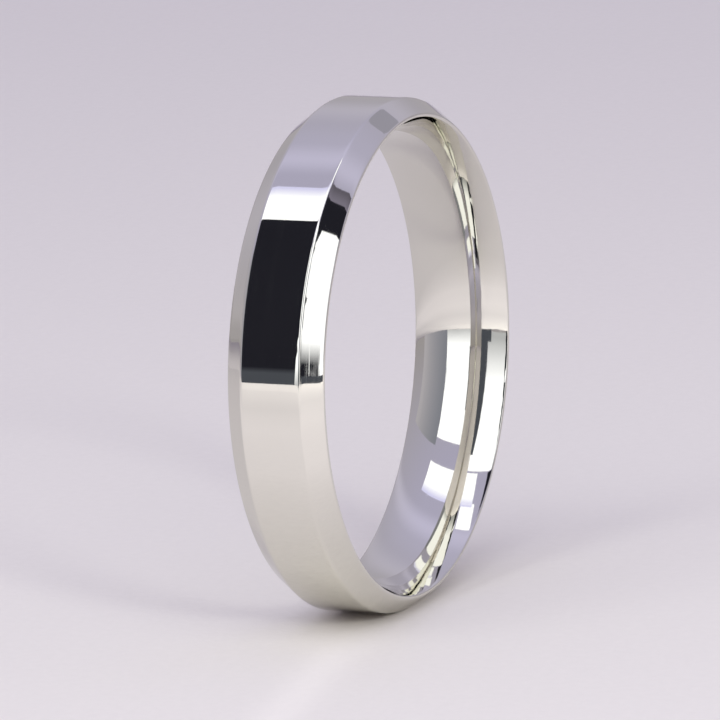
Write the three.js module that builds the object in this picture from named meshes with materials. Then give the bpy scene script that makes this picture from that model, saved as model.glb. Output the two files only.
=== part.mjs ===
// A bevelled wedding band, turned from one piece of white metal.
// Millimetres, +Z up. The ring stands on its rim: its axis is Y and its origin is the centre
// of the finger hole.
import * as THREE from 'three';

// Driving dimensions
const bandWidth = 4.0; // along the axis, edge to edge
const outerDiameter = 20.1; // over the flat tread
const innerDiameter = 17.75; // at the crown of the finger hole, US size 7 1/2
const treadWidth = 2.42; // flat outer face between the bevels
const bevelDrop = 0.59; // how much each bevel takes off the radius at the edge
const edgeLand = 0.12; // flat left on each edge, between the bevel and the hole

// Facets
const facetsAround = 128; // a multiple of 4, so that flats lie at the bottom, top and sides
const facetsAcrossHole = 16; // along the curve of the comfort fit

const halfWidth = bandWidth / 2;
const halfTread = treadWidth / 2;
const treadRadius = outerDiameter / 2;
const crownRadius = innerDiameter / 2;
const bevelFootRadius = treadRadius - bevelDrop;
const holeMouthRadius = bevelFootRadius - edgeLand;

// The comfort fit: an arc across the hole, from one mouth over the crown to the other.
// Each point is (distance from the axis, place along the axis).
function comfortArc() {
  const rise = holeMouthRadius - crownRadius;
  const arcRadius = (halfWidth ** 2 + rise ** 2) / (2 * rise);
  const halfAngle = Math.asin(halfWidth / arcRadius);
  const curve = new THREE.EllipseCurve(
    crownRadius + arcRadius, 0, arcRadius, arcRadius, Math.PI - halfAngle, Math.PI + halfAngle,
  );
  return curve.getPoints(facetsAcrossHole);
}

// Half of the band's section, cut by a plane through the axis, as a closed outline.
function bandSection() {
  const outside = [
    new THREE.Vector2(bevelFootRadius, -halfWidth),
    new THREE.Vector2(treadRadius, -halfTread),
    new THREE.Vector2(treadRadius, halfTread),
    new THREE.Vector2(bevelFootRadius, halfWidth),
  ];
  return [...outside, ...comfortArc(), outside[0]];
}

function makeBand() {
  // The half step puts a facet, not an edge, at the lowest point.
  const halfStep = Math.PI / facetsAround;
  const geometry = new THREE.LatheGeometry(bandSection(), facetsAround, halfStep, Math.PI * 2);
  const polishedPlatinum = new THREE.MeshStandardMaterial({
    color: 0xe3e1dd,
    metalness: 1.0,
    roughness: 0.06,
  });
  const band = new THREE.Mesh(geometry, polishedPlatinum);
  band.name = 'band';
  return band;
}

const weddingBand = new THREE.Group();
weddingBand.add(makeBand());

export default weddingBand;
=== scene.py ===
import math
import bpy
from mathutils import Matrix, Vector


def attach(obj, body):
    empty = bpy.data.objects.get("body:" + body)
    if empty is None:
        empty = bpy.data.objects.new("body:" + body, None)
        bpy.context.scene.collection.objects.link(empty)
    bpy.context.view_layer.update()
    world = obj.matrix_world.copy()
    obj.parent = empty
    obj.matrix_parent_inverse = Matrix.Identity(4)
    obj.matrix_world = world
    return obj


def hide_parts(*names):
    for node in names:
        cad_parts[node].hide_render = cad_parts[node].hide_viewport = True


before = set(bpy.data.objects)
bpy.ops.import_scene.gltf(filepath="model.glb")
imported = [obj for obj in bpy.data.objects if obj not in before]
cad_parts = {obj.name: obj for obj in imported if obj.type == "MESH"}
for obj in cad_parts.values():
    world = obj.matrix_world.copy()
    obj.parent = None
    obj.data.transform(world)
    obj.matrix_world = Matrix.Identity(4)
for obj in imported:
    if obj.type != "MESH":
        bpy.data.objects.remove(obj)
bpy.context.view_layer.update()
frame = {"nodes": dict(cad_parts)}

print("frame loaded:", ", ".join(frame["nodes"]))


# small helpers for working as by hand

def deselectAll():
    if bpy.context.object and bpy.context.object.mode != 'OBJECT':
        bpy.ops.object.mode_set(mode='OBJECT')
    bpy.ops.object.select_all(action='DESELECT')


def pickVerts(piece, test):
    # selects the vertices that pass the test and goes back to edit mode
    bpy.ops.object.mode_set(mode='OBJECT')
    for edge in piece.data.edges:
        edge.select = False
    for face in piece.data.polygons:
        face.select = False
    for vert in piece.data.vertices:
        vert.select = test(vert.co)
    bpy.ops.object.mode_set(mode='EDIT')
    bpy.ops.mesh.select_mode(type='VERT')


# what the CAD node says about the band's section

def measureBand(node):
    spots = [(math.hypot(v.co.x, v.co.z), abs(v.co.y)) for v in node.data.vertices]
    near = 2e-6   # metres, close enough to be on the same face
    treadRadius = max(r for r, y in spots)
    halfWidth = max(y for r, y in spots)
    edgeRadii = [r for r, y in spots if y > halfWidth - near]
    return {
        "treadRadius": treadRadius,
        "halfWidth": halfWidth,
        "halfTread": max(y for r, y in spots if r > treadRadius - near),
        "bevelFoot": max(edgeRadii),       # where the bevel meets the flat edge
        "holeMouth": min(edgeRadii),       # where the flat edge meets the comfort fit
        "crown": min(r for r, y in spots),
    }


size = measureBand(frame["nodes"]["band"])
print("band measured, mm:", {name: round(value * 1000, 3) for name, value in size.items()})


# the camera

cameraView = {
    "azimuth": -66.9,      # degrees, from the -Y side towards -X
    "elevation": 12.0,
    "roll": -2.35,
    "distance": 0.40,      # metres from the ring's centre
    "lens": 513.6,
    "aimRight": -0.00044,  # metres, how far the camera aims beside the ring's centre
    "aimUp": -0.00023,
    "nearest": 0.01,       # metres, where its view starts and ends
    "farthest": 5,
}


def addCamera(view):
    turn = math.radians(view["azimuth"])
    rise = math.radians(view["elevation"])
    roll = math.radians(view["roll"])
    back = Vector((math.sin(turn) * math.cos(rise), -math.cos(turn) * math.cos(rise), math.sin(rise)))
    right = Vector((0, 0, 1)).cross(back).normalized()
    up = back.cross(right)
    rolledRight = math.cos(roll) * right + math.sin(roll) * up
    rolledUp = math.cos(roll) * up - math.sin(roll) * right
    place = back * view["distance"] + rolledRight * view["aimRight"] + rolledUp * view["aimUp"]
    bpy.ops.object.camera_add(location=place)
    camera = bpy.context.object
    camera.rotation_euler = Matrix((rolledRight, rolledUp, back)).transposed().to_euler()
    camera.data.lens = view["lens"]
    camera.data.clip_start = view["nearest"]
    camera.data.clip_end = view["farthest"]
    bpy.context.scene.camera = camera


addCamera(cameraView)
print("camera placed")


# small helpers for materials

def calculate(tree, operation, first, second=0.0):
    # one Math node; each input is a number or another node's output
    node = tree.nodes.new("ShaderNodeMath")
    node.operation = operation
    for socket, value in zip(node.inputs, (first, second)):
        if isinstance(value, (int, float)):
            socket.default_value = value
        else:
            tree.links.new(value, socket)
    return node.outputs[0]


def stretch(tree, value, fromLow, fromHigh, toLow, toHigh):
    node = tree.nodes.new("ShaderNodeMapRange")
    tree.links.new(value, node.inputs["Value"])
    limits = {"From Min": fromLow, "From Max": fromHigh, "To Min": toLow, "To Max": toHigh}
    for name, number in limits.items():
        node.inputs[name].default_value = number
    return node.outputs["Result"]


def blendColours(tree, factor, first, second):
    node = tree.nodes.new("ShaderNodeMix")
    node.data_type = 'RGBA'
    tree.links.new(factor, node.inputs["Factor"])
    node.inputs["A"].default_value = (*first, 1)
    node.inputs["B"].default_value = (*second, 1)
    return node.outputs["Result"]


def raised(tree, height, distance, under=None):
    bump = tree.nodes.new("ShaderNodeBump")
    tree.links.new(height, bump.inputs["Height"])
    bump.inputs["Distance"].default_value = distance
    if under is not None:
        tree.links.new(under, bump.inputs["Normal"])
    return bump.outputs["Normal"]


def surfacePlace(tree):
    # where the surface is, whole and as x, y and z
    place = tree.nodes.new("ShaderNodeTexCoord").outputs["Object"]
    split = tree.nodes.new("ShaderNodeSeparateXYZ")
    tree.links.new(place, split.inputs[0])
    return place, *split.outputs


def angleAbove(tree, x, z):
    # the angle about the ring's axis, above the -X side
    return calculate(tree, 'ARCTAN2', z, calculate(tree, 'MULTIPLY', x, -1.0))


# the polished metal

metal = {
    "colour": (0.79, 0.777, 0.70),
    "clearColour": (0.82, 0.808, 0.735),   # where the buff has left it brightest
    "roughness": 0.025,
    "lineRoughness": 0.03,      # how much the polishing lines add
    "wornRoughness": 0.05,      # and how much the worn arris adds
    "linesPerMetre": 13000,     # across the polishing lines
    "driftPerMetre": 90,        # along them
    "lineHeight": 3.5e-8,
    "lineRange": (0.35, 0.75),  # which part of the pattern of lines the roughness follows
    "wavesPerMetre": 420,       # the slow unevenness of a hand-held buff
    "waveHeight": 1.2e-6,
    "hairlineLeans": (0.6, -0.9),        # radians, two sets of stray scratches
    "hairlineGrid": (300, 9000, 300),    # per metre, along and across a scratch
    "hairlineRange": (0.74, 0.80),       # the higher, the fewer scratches
    "hairlineHeight": 1.5e-7,
    "wornWidth": 0.00012,       # how far from the arris the wear reaches
}


def distanceFromAxis(tree, x, z):
    squares = calculate(tree, 'ADD', calculate(tree, 'MULTIPLY', x, x), calculate(tree, 'MULTIPLY', z, z))
    return calculate(tree, 'SQRT', squares)


def polishingLines(tree, x, y, z, radius, finish):
    # fine lines that run round the ring on every face, because they change only across the section
    joined = tree.nodes.new("ShaderNodeCombineXYZ")
    tree.links.new(calculate(tree, 'MULTIPLY', x, finish["driftPerMetre"]), joined.inputs["X"])
    tree.links.new(calculate(tree, 'MULTIPLY', y, finish["linesPerMetre"]), joined.inputs["Y"])
    tree.links.new(calculate(tree, 'MULTIPLY', z, finish["driftPerMetre"]), joined.inputs["Z"])
    noise = tree.nodes.new("ShaderNodeTexNoise")
    noise.noise_dimensions = '4D'
    tree.links.new(joined.outputs[0], noise.inputs["Vector"])
    tree.links.new(calculate(tree, 'MULTIPLY', radius, finish["linesPerMetre"]), noise.inputs["W"])
    noise.inputs["Scale"].default_value = 1
    noise.inputs["Detail"].default_value = 2
    return noise.outputs["Fac"]


def slowWaves(tree, place, finish):
    noise = tree.nodes.new("ShaderNodeTexNoise")
    tree.links.new(place, noise.inputs["Vector"])
    noise.inputs["Scale"].default_value = finish["wavesPerMetre"]
    noise.inputs["Detail"].default_value = 1
    return noise.outputs["Fac"]


def hairlines(tree, place, lean, finish):
    # a few stray hairline scratches, leaning across the polishing lines
    turned = tree.nodes.new("ShaderNodeMapping")
    tree.links.new(place, turned.inputs["Vector"])
    turned.inputs["Rotation"].default_value = (lean, lean / 2, lean)
    turned.inputs["Scale"].default_value = finish["hairlineGrid"]
    noise = tree.nodes.new("ShaderNodeTexNoise")
    tree.links.new(turned.outputs[0], noise.inputs["Vector"])
    noise.inputs["Scale"].default_value = 1
    noise.inputs["Detail"].default_value = 0
    return stretch(tree, noise.outputs["Fac"], *finish["hairlineRange"], 0, 1)


def arrisWear(tree, y, radius, finish):
    # 1 on the arris between tread and bevel, 0 a little way off it
    offArris = calculate(tree, 'SUBTRACT', calculate(tree, 'ABSOLUTE', y), size["halfTread"])
    near = stretch(tree, calculate(tree, 'ABSOLUTE', offArris), 0, finish["wornWidth"], 1, 0)
    outside = calculate(tree, 'GREATER_THAN', radius, size["bevelFoot"])
    return calculate(tree, 'MULTIPLY', near, outside)


def polishedPlatinum(finish):
    material = bpy.data.materials.new("polishedPlatinum")
    material.use_nodes = True
    tree = material.node_tree
    shader = tree.nodes["Principled BSDF"]
    place, x, y, z = surfacePlace(tree)
    radius = distanceFromAxis(tree, x, z)
    lines = polishingLines(tree, x, y, z, radius, finish)
    waves = slowWaves(tree, place, finish)
    scratchSets = [hairlines(tree, place, lean, finish) for lean in finish["hairlineLeans"]]
    scratches = calculate(tree, 'MAXIMUM', *scratchSets)
    worn = arrisWear(tree, y, radius, finish)

    shader.inputs["Metallic"].default_value = 1
    buffed = blendColours(tree, waves, finish["colour"], finish["clearColour"])
    tree.links.new(buffed, shader.inputs["Base Color"])

    smoothest = finish["roughness"]
    lined = stretch(tree, lines, *finish["lineRange"], smoothest, smoothest + finish["lineRoughness"])
    wornPart = calculate(tree, 'MULTIPLY', worn, finish["wornRoughness"])
    scratchedPart = calculate(tree, 'MULTIPLY', scratches, finish["lineRoughness"])
    rough = calculate(tree, 'ADD', lined, calculate(tree, 'ADD', wornPart, scratchedPart))
    tree.links.new(rough, shader.inputs["Roughness"])

    surface = raised(tree, waves, finish["waveHeight"])
    surface = raised(tree, lines, finish["lineHeight"], surface)
    surface = raised(tree, scratches, finish["hairlineHeight"], surface)
    tree.links.new(surface, shader.inputs["Normal"])
    return material


# the band, turned from its section

turning = {
    "arrisRounding": 0.065,   # millimetres, how far along each face the polish has rounded an arris
    "footRounding": 0.05,     # the same where the bevel meets the flat edge
    "mouthRounding": 0.05,    # and where the flat edge meets the hole
    "roundingSteps": 8,
    "treadSteps": 10,
    "bevelSteps": 6,
    "holeSteps": 30,          # across the comfort fit
    "aroundSteps": 480,
    "sameSpot": 0.001,        # millimetres, how close a vertex is picked
    "sameFace": 1e-5,
    "merging": 0.0001,
}


def drawSection(band):
    # the band's section, drawn in millimetres on the XY plane beside the axis
    bpy.ops.mesh.primitive_plane_add(size=2, enter_editmode=True)
    piece = bpy.context.object
    middle = (band["treadRadius"] + band["holeMouth"]) / 2
    bpy.ops.transform.resize(value=(band["treadRadius"] - middle, band["halfWidth"], 1))
    bpy.ops.transform.translate(value=(middle, 0, 0))
    # a bevel is filed off each outer corner
    across = band["halfWidth"] - band["halfTread"]
    drop = band["treadRadius"] - band["bevelFoot"]
    for side in (-1, 1):
        bpy.ops.mesh.select_all(action='SELECT')
        bpy.ops.mesh.bisect(plane_co=(band["treadRadius"], side * band["halfTread"], 0),
                            plane_no=(across, side * drop, 0), clear_outer=True,
                            threshold=turning["sameFace"])
    # the straight side towards the hole gives way to the comfort fit, an arc over the crown
    atMouth = band["holeMouth"] + turning["sameSpot"]
    pickVerts(piece, lambda co: co.x < atMouth)
    bpy.ops.mesh.delete(type='EDGE')
    rise = band["holeMouth"] - band["crown"]
    arcRadius = (band["halfWidth"] ** 2 + rise ** 2) / (2 * rise)
    halfArc = math.asin(band["halfWidth"] / arcRadius)
    pickVerts(piece, lambda co: co.x < atMouth and co.y > 0)
    bpy.ops.mesh.spin(steps=turning["holeSteps"], angle=2 * halfArc, dupli=False,
                      center=(band["crown"] + arcRadius, 0, 0), axis=(0, 0, -1))
    bpy.ops.mesh.select_all(action='SELECT')
    bpy.ops.mesh.remove_doubles(threshold=turning["merging"])
    return piece


def roundCorners(piece, band):
    # every arris is softened by the polish
    bpy.ops.mesh.select_all(action='SELECT')
    bpy.ops.mesh.edge_face_add()
    corners = (
        (band["treadRadius"], band["halfTread"], turning["arrisRounding"]),
        (band["bevelFoot"], band["halfWidth"], turning["footRounding"]),
        (band["holeMouth"], band["halfWidth"], turning["mouthRounding"]),
    )
    close = turning["sameSpot"]
    for radius, place, rounding in corners:
        pickVerts(piece, lambda co: abs(co.x - radius) < close and abs(abs(co.y) - place) < close)
        bpy.ops.mesh.bevel(affect='VERTICES', offset=rounding, segments=turning["roundingSteps"],
                           offset_type='OFFSET', clamp_overlap=False)
    bpy.ops.mesh.select_all(action='SELECT')
    bpy.ops.mesh.delete(type='ONLY_FACE')


def divideFlats(piece, band):
    # short steps across the tread and the bevels keep each one truly flat when it is shaded
    pickVerts(piece, lambda co: co.x > band["treadRadius"] - turning["sameFace"])
    bpy.ops.mesh.subdivide(number_cuts=turning["treadSteps"] - 1)
    inwards = band["bevelFoot"] - band["treadRadius"]
    outwards = band["halfWidth"] - band["halfTread"]
    down = Vector((inwards, outwards)).normalized()

    def onBevel(co):
        reach = Vector((co.x - band["treadRadius"], abs(co.y) - band["halfTread"]))
        return abs(reach.x * down.y - reach.y * down.x) < turning["sameFace"]

    pickVerts(piece, onBevel)
    bpy.ops.mesh.subdivide(number_cuts=turning["bevelSteps"] - 1)


def turnBand(band):
    deselectAll()
    piece = drawSection(band)
    roundCorners(piece, band)
    divideFlats(piece, band)
    bpy.ops.mesh.select_all(action='SELECT')
    bpy.ops.mesh.spin(steps=turning["aroundSteps"], angle=2 * math.pi, dupli=False,
                      center=(0, 0, 0), axis=(0, 1, 0))
    bpy.ops.mesh.select_all(action='SELECT')
    bpy.ops.mesh.remove_doubles(threshold=turning["merging"])
    bpy.ops.mesh.normals_make_consistent(inside=False)
    # from millimetres to metres, about the ring's axis
    bpy.ops.transform.resize(value=(0.001, 0.001, 0.001), center_override=(0, 0, 0))
    bpy.ops.object.mode_set(mode='OBJECT')
    bpy.ops.object.shade_smooth()
    bpy.ops.object.modifier_add(type='WEIGHTED_NORMAL')
    bpy.ops.object.modifier_apply(modifier=piece.modifiers[-1].name)
    piece.name = "polishedBand"
    piece.data.name = "polishedBand"
    piece.data.materials.append(polishedPlatinum(metal))
    return piece


millimetres = {name: value * 1000 for name, value in size.items()}
polishedBand = turnBand(millimetres)
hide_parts("band")
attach(polishedBand, "root")
print("band turned:", len(polishedBand.data.polygons), "faces")


# the studio starts with a pale table

table = {
    "colour": (0.77, 0.725, 0.70),
    "roughness": 0.85,
    "specular": 0.2,
    "length": 1.6,
    "width": 2.4,
    "nearEdge": -0.28,       # where the table ends on the window side
    "grainPerMetre": 2500,
    "grainContrast": 0.02,
    "grainHeight": 0.00002,
    "paintedShadeAlong": (0.07, 0.30, 1, 0.75),        # painted shade, darker towards +Y: from, to, gains there
    "paintedLightAlong": (-0.02, -0.08, 1, 1.08),   # and painted light, brighter towards the windows
}


def tableMaterial():
    material = bpy.data.materials.new("paleTable")
    material.use_nodes = True
    tree = material.node_tree
    shader = tree.nodes["Principled BSDF"]
    place, x, y, z = surfacePlace(tree)
    grain = tree.nodes.new("ShaderNodeTexNoise")
    tree.links.new(place, grain.inputs["Vector"])
    grain.inputs["Scale"].default_value = table["grainPerMetre"]
    darker = [value * (1 - table["grainContrast"]) for value in table["colour"]]
    paler = [value * (1 + table["grainContrast"]) for value in table["colour"]]
    grained = blendColours(tree, grain.outputs["Fac"], darker, paler)
    # painted light and shade: the table's colour is darker towards +Y and brighter towards the windows
    paintedLightAndShade = stretch(tree, y, *table["paintedShadeAlong"])
    paintedLightAndShade = calculate(tree, 'MULTIPLY', paintedLightAndShade, stretch(tree, x, *table["paintedLightAlong"]))
    scale = tree.nodes.new("ShaderNodeVectorMath")
    scale.operation = 'SCALE'
    tree.links.new(grained, scale.inputs[0])
    tree.links.new(paintedLightAndShade, scale.inputs["Scale"])
    tree.links.new(scale.outputs[0], shader.inputs["Base Color"])
    tree.links.new(raised(tree, grain.outputs["Fac"], table["grainHeight"]), shader.inputs["Normal"])
    shader.inputs["Roughness"].default_value = table["roughness"]
    shader.inputs["Specular IOR Level"].default_value = table["specular"]
    return material


def addTable():
    deselectAll()
    bpy.ops.mesh.primitive_plane_add(size=1, enter_editmode=True)
    piece = bpy.context.object
    piece.name = "table"
    bpy.ops.transform.resize(value=(table["length"], table["width"], 1))
    bpy.ops.transform.translate(value=(table["nearEdge"] + table["length"] / 2, 0, -size["treadRadius"]))
    bpy.ops.object.mode_set(mode='OBJECT')
    piece.data.materials.append(tableMaterial())


# a pale room, dimmer towards the horizon, with a soft glow across its ceiling

room = {
    "horizon": (0.43, 0.405, 0.435),
    "zenith": (0.50, 0.48, 0.67),
    "zenithFrom": 0.9,       # how high the zenith's colour is reached, where straight up is 1
    "brightest": 2,          # more than any of the ceiling's strengths
    # the ceiling's own light, by angle above the -X side
    "ceiling": {0: 0.9, 60: 0.95, 97: 0.97, 108: 1.24, 121: 1.03, 135: 1.0, 152: 1.14, 168: 0.98},
}


def addRoom():
    world = bpy.data.worlds.new("studioRoom")
    bpy.context.scene.world = world
    world.use_nodes = True
    tree = world.node_tree
    split = tree.nodes.new("ShaderNodeSeparateXYZ")
    tree.links.new(tree.nodes.new("ShaderNodeTexCoord").outputs["Generated"], split.inputs[0])
    x, y, z = split.outputs
    backdrop = tree.nodes["Background"]
    height = stretch(tree, z, 0, room["zenithFrom"], 0, 1)
    tree.links.new(blendColours(tree, height, room["horizon"], room["zenith"]), backdrop.inputs["Color"])
    ramp = tree.nodes.new("ShaderNodeValToRGB")
    ramp.color_ramp.interpolation = 'EASE'
    tree.links.new(stretch(tree, angleAbove(tree, x, z), 0, math.pi, 0, 1), ramp.inputs["Fac"])
    stops = ramp.color_ramp.elements
    stops.remove(stops[1])
    for degrees, strength in room["ceiling"].items():
        stop = stops[0] if degrees == 0 else stops.new(degrees / 180)
        share = strength / room["brightest"]
        stop.color = (share, share, share, 1)
    strength = calculate(tree, 'MULTIPLY', ramp.outputs["Color"], room["brightest"])
    tree.links.new(strength, backdrop.inputs["Strength"])


# two lamps, and a very small one for the streak of light that the tread throws on the table

lampColour = (0.965, 1.0, 0.925)

lamps = {
    "keyLamp": {"place": (-0.29, -0.05, 0.28), "spread": (0.60, 0.30), "power": 1.42},
    "sideLamp": {"place": (-0.23, -0.30, 0.165), "spread": (0.07, 0.07), "power": 0.40},
}

streak = {
    "place": (-0.019, -0.0033, -0.0072),
    "spread": (0.028, 0.0012),
    "turn": 9.8,       # degrees
    "opening": 60,
    "power": 1.4e-5,
}


def addLamp(name, facts):
    deselectAll()
    bpy.ops.object.light_add(type='AREA', location=facts["place"])
    light = bpy.context.object
    light.name = name
    light.data.shape = 'RECTANGLE'
    light.data.size, light.data.size_y = facts["spread"]
    light.data.energy = facts["power"]
    light.rotation_euler = Vector(facts["place"]).to_track_quat('Z', 'Y').to_euler()
    light.visible_glossy = False
    light.visible_camera = False
    return light


def addLamps():
    for name, facts in lamps.items():
        addLamp(name, facts).data.color = lampColour
    light = addLamp("streak", streak)
    light.rotation_euler = (0, 0, math.radians(streak["turn"]))
    light.data.spread = math.radians(streak["opening"])


# painted reflections, seen only in the metal: glowing cards for windows on the -X side and a lamp
# overhead, and dark cards

white = (1.38, 1.40, 1.50)
dim = (0.55, 0.56, 0.60)
slate = (0.077, 0.084, 0.105)
black = (0.016, 0.016, 0.024)

cardSteps = 60

# each card is bent round the ring's axis: its distance from it, its angles above the -X side and
# its leans towards +Y. It glows in one colour, or in two, of which the first turns into the second
# between two angles (fade) or between two leans (fadeAside). A tilt, in degrees, leans it over.
cards = {
    "windowLeft": {"distance": 0.250, "angles": (-2, 57), "leans": (2, 34),
                   "colours": (dim, white), "fade": (-3, 6)},
    "windowRight": {"distance": 0.250, "angles": (-1, 70), "leans": (-34, 2),
                    "colours": (dim, white), "fade": (2, 24)},
    "windowBevel": {"distance": 0.250, "angles": (-1, 75.5), "leans": (-62, -40), "colour": white},
    "windowFrame": {"distance": 0.249, "angles": (-3, 75.5), "leans": (-41, -31), "colour": black},
    "frameFoot": {"distance": 0.249, "angles": (-4, 26), "leans": (-50.0, -31), "tilt": 3,
                  "colours": (black, white), "fade": (9, 21), "fadeAside": (-49.36, -49.66)},
    "frameSide": {"distance": 0.246, "angles": (-3, 40), "leans": (-45.5, -31), "colour": black},
    "curtain": {"distance": 0.250, "angles": (-3, 62), "leans": (34, 62),
                "colours": ((0.26, 0.27, 0.33), (0.49, 0.47, 0.53)), "fadeAside": (36, 60)},
    "sill": {"distance": 0.248, "angles": (-2.2, 4), "leans": (-14, 3), "colour": slate},
    "bevelSill": {"distance": 0.140, "angles": (-4.1, -0.3), "leans": (-62, -40), "colour": slate},
    "overheadLamp": {"distance": 0.450, "angles": (70.8, 90), "leans": (-13, 34),
                     "colours": (white, (0.82, 0.81, 1.18)), "fade": (84, 89)},
    "overheadSide": {"distance": 0.450, "angles": (88, 104), "leans": (-15, -4), "colour": white},
    "overheadBlack": {"distance": 0.500, "angles": (70, 91), "leans": (-62, -22), "colour": black},
    "overheadBeam": {"distance": 0.500, "angles": (91, 98.2), "leans": (-62, -22),
                     "colours": ((0.24, 0.22, 0.30), (0.12, 0.11, 0.145)), "fade": (91, 98)},
    "overheadPatch": {"distance": 0.450, "angles": (135, 147), "leans": (-17, -8),
                      "colour": (0.36, 0.35, 0.44)},
}

# a flat dark upright between the windows, a painted dark reflection seen only in the metal
windowPost = {
    "distance": 0.120,
    "sides": (-0.024, -0.0025),
    "heights": (-0.005, 0.226),
    "colour": slate,
}

# a small dark card, bent like the cards but close to the tread and seen only in the metal: a painted dark
# reflection on the tread
treadShade = {
    "distance": 0.0118,
    "angles": (4.3, 47.4),
    "sides": (-0.0009, 0.0026),
    "colours": (slate, black),
    "fade": (7.0, 8.4),
    "trim": (-0.00030, 0.06),   # a slanting cut along its -Y side: where it starts, and its slope
}


def bareMaterial(name):
    # a new material with nothing in it, and the socket that its surface goes to
    material = bpy.data.materials.new(name)
    material.use_nodes = True
    tree = material.node_tree
    tree.nodes.remove(tree.nodes["Principled BSDF"])
    return material, tree, tree.nodes["Material Output"].inputs["Surface"]


def glow(name, facts):
    material, tree, surface = bareMaterial(name)
    light = tree.nodes.new("ShaderNodeEmission")
    tree.links.new(light.outputs[0], surface)
    if "colour" in facts:
        light.inputs["Color"].default_value = (*facts["colour"], 1)
        return material
    place, x, y, z = surfacePlace(tree)
    shares = []
    if "fade" in facts:
        limits = [math.radians(limit) for limit in facts["fade"]]
        shares.append(stretch(tree, angleAbove(tree, x, z), *limits, 0, 1))
    if "fadeAside" in facts:
        shares.append(stretch(tree, y, *leansToSides(facts, "fadeAside"), 0, 1))
    factor = shares[0]
    if len(shares) > 1:
        factor = calculate(tree, 'MAXIMUM', *shares)
    tree.links.new(blendColours(tree, factor, *facts["colours"]), light.inputs["Color"])
    return material


def leansToSides(facts, what):
    # where on a card, in metres along Y, its leans are
    return [facts["distance"] * math.tan(math.radians(lean)) for lean in facts[what]]


def showOnlyInMetal(card, name, material):
    card.name = name
    card.data.materials.append(material)
    card.visible_camera = False
    card.visible_diffuse = False
    card.visible_shadow = False


def bendCard(name, facts, sides):
    # one straight edge beside the ring, spun about the ring's axis
    deselectAll()
    bpy.ops.mesh.primitive_plane_add(size=1, enter_editmode=True)
    piece = bpy.context.object
    pickVerts(piece, lambda co: co.x > 0)
    bpy.ops.mesh.delete(type='VERT')
    bpy.ops.mesh.select_all(action='SELECT')
    bpy.ops.transform.resize(value=(1, sides[1] - sides[0], 1), center_override=(0, 0, 0))
    # the edge that is left stands at -0.5
    distance = facts["distance"]
    start, stop = (math.radians(angle) for angle in facts["angles"])
    place = (0.5 - distance * math.cos(start), (sides[0] + sides[1]) / 2, distance * math.sin(start))
    bpy.ops.transform.translate(value=place)
    bpy.ops.mesh.spin(steps=cardSteps, angle=stop - start, dupli=False, center=(0, 0, 0), axis=(0, -1, 0))
    if "trim" in facts:
        cut, slope = facts["trim"]
        bpy.ops.mesh.select_all(action='SELECT')
        bpy.ops.mesh.bisect(plane_co=(0, cut, 0), plane_no=(0, -1, -slope), clear_outer=True,
                            threshold=1e-7)
    bpy.ops.object.mode_set(mode='OBJECT')
    showOnlyInMetal(piece, name, glow(name, facts))
    piece.rotation_euler.x = math.radians(facts.get("tilt", 0))


def addPost(name, facts):
    near, far = facts["sides"]
    low, high = facts["heights"]
    deselectAll()
    bpy.ops.mesh.primitive_plane_add(size=1, enter_editmode=True)
    bpy.ops.transform.rotate(value=math.pi / 2, orient_axis='Y', center_override=(0, 0, 0))
    bpy.ops.transform.resize(value=(1, far - near, high - low))
    bpy.ops.transform.translate(value=(-facts["distance"], (near + far) / 2, (low + high) / 2))
    bpy.ops.object.mode_set(mode='OBJECT')
    showOnlyInMetal(bpy.context.object, name, glow(name, facts))


# painted shade and sheen, seen only in the metal: a clear sheet over the table that makes the mirrored
# table darker close to the ring and gleam towards the windows and -Y; each row is from, to, gain at from,
# gain at to

reflectedShadeAndSheen = {
    "height": 0.0002,
    "spread": 0.24,
    "gleamAlong": (-0.006, -0.017, 0.87, 1.08),
    "gleamEnds": (-0.030, -0.050, 1.0, 0.88),
    "gleamAside": (-0.003, -0.010, 1.0, 1.07),
}


def reflectedShadeAndSheenMaterial():
    material, tree, surface = bareMaterial("tableShadeAndSheen")
    place, x, y, z = surfacePlace(tree)
    # painted shade and sheen: the mirrored table is darker close to the ring and brighter towards the
    # windows and -Y
    gain = stretch(tree, x, *reflectedShadeAndSheen["gleamAlong"])
    gain = calculate(tree, 'MULTIPLY', gain, stretch(tree, x, *reflectedShadeAndSheen["gleamEnds"]))
    gain = calculate(tree, 'MULTIPLY', gain, stretch(tree, y, *reflectedShadeAndSheen["gleamAside"]))
    clear = tree.nodes.new("ShaderNodeBsdfTransparent")
    tree.links.new(gain, clear.inputs["Color"])
    tree.links.new(clear.outputs[0], surface)
    return material


def addReflectedShadeAndSheen():
    deselectAll()
    bpy.ops.mesh.primitive_plane_add(size=reflectedShadeAndSheen["spread"], enter_editmode=True)
    bpy.ops.transform.translate(value=(0, 0, reflectedShadeAndSheen["height"] - size["treadRadius"]))
    bpy.ops.object.mode_set(mode='OBJECT')
    showOnlyInMetal(bpy.context.object, "tableShadeAndSheen", reflectedShadeAndSheenMaterial())


addTable()
addRoom()
addLamps()
for name, facts in cards.items():
    bendCard(name, facts, leansToSides(facts, "leans"))
addPost("windowPost", windowPost)
bendCard("treadShade", treadShade, treadShade["sides"])
addReflectedShadeAndSheen()
print("studio built:", len(cards) + 2, "cards")

bpy.context.scene.view_settings.view_transform = 'Standard'
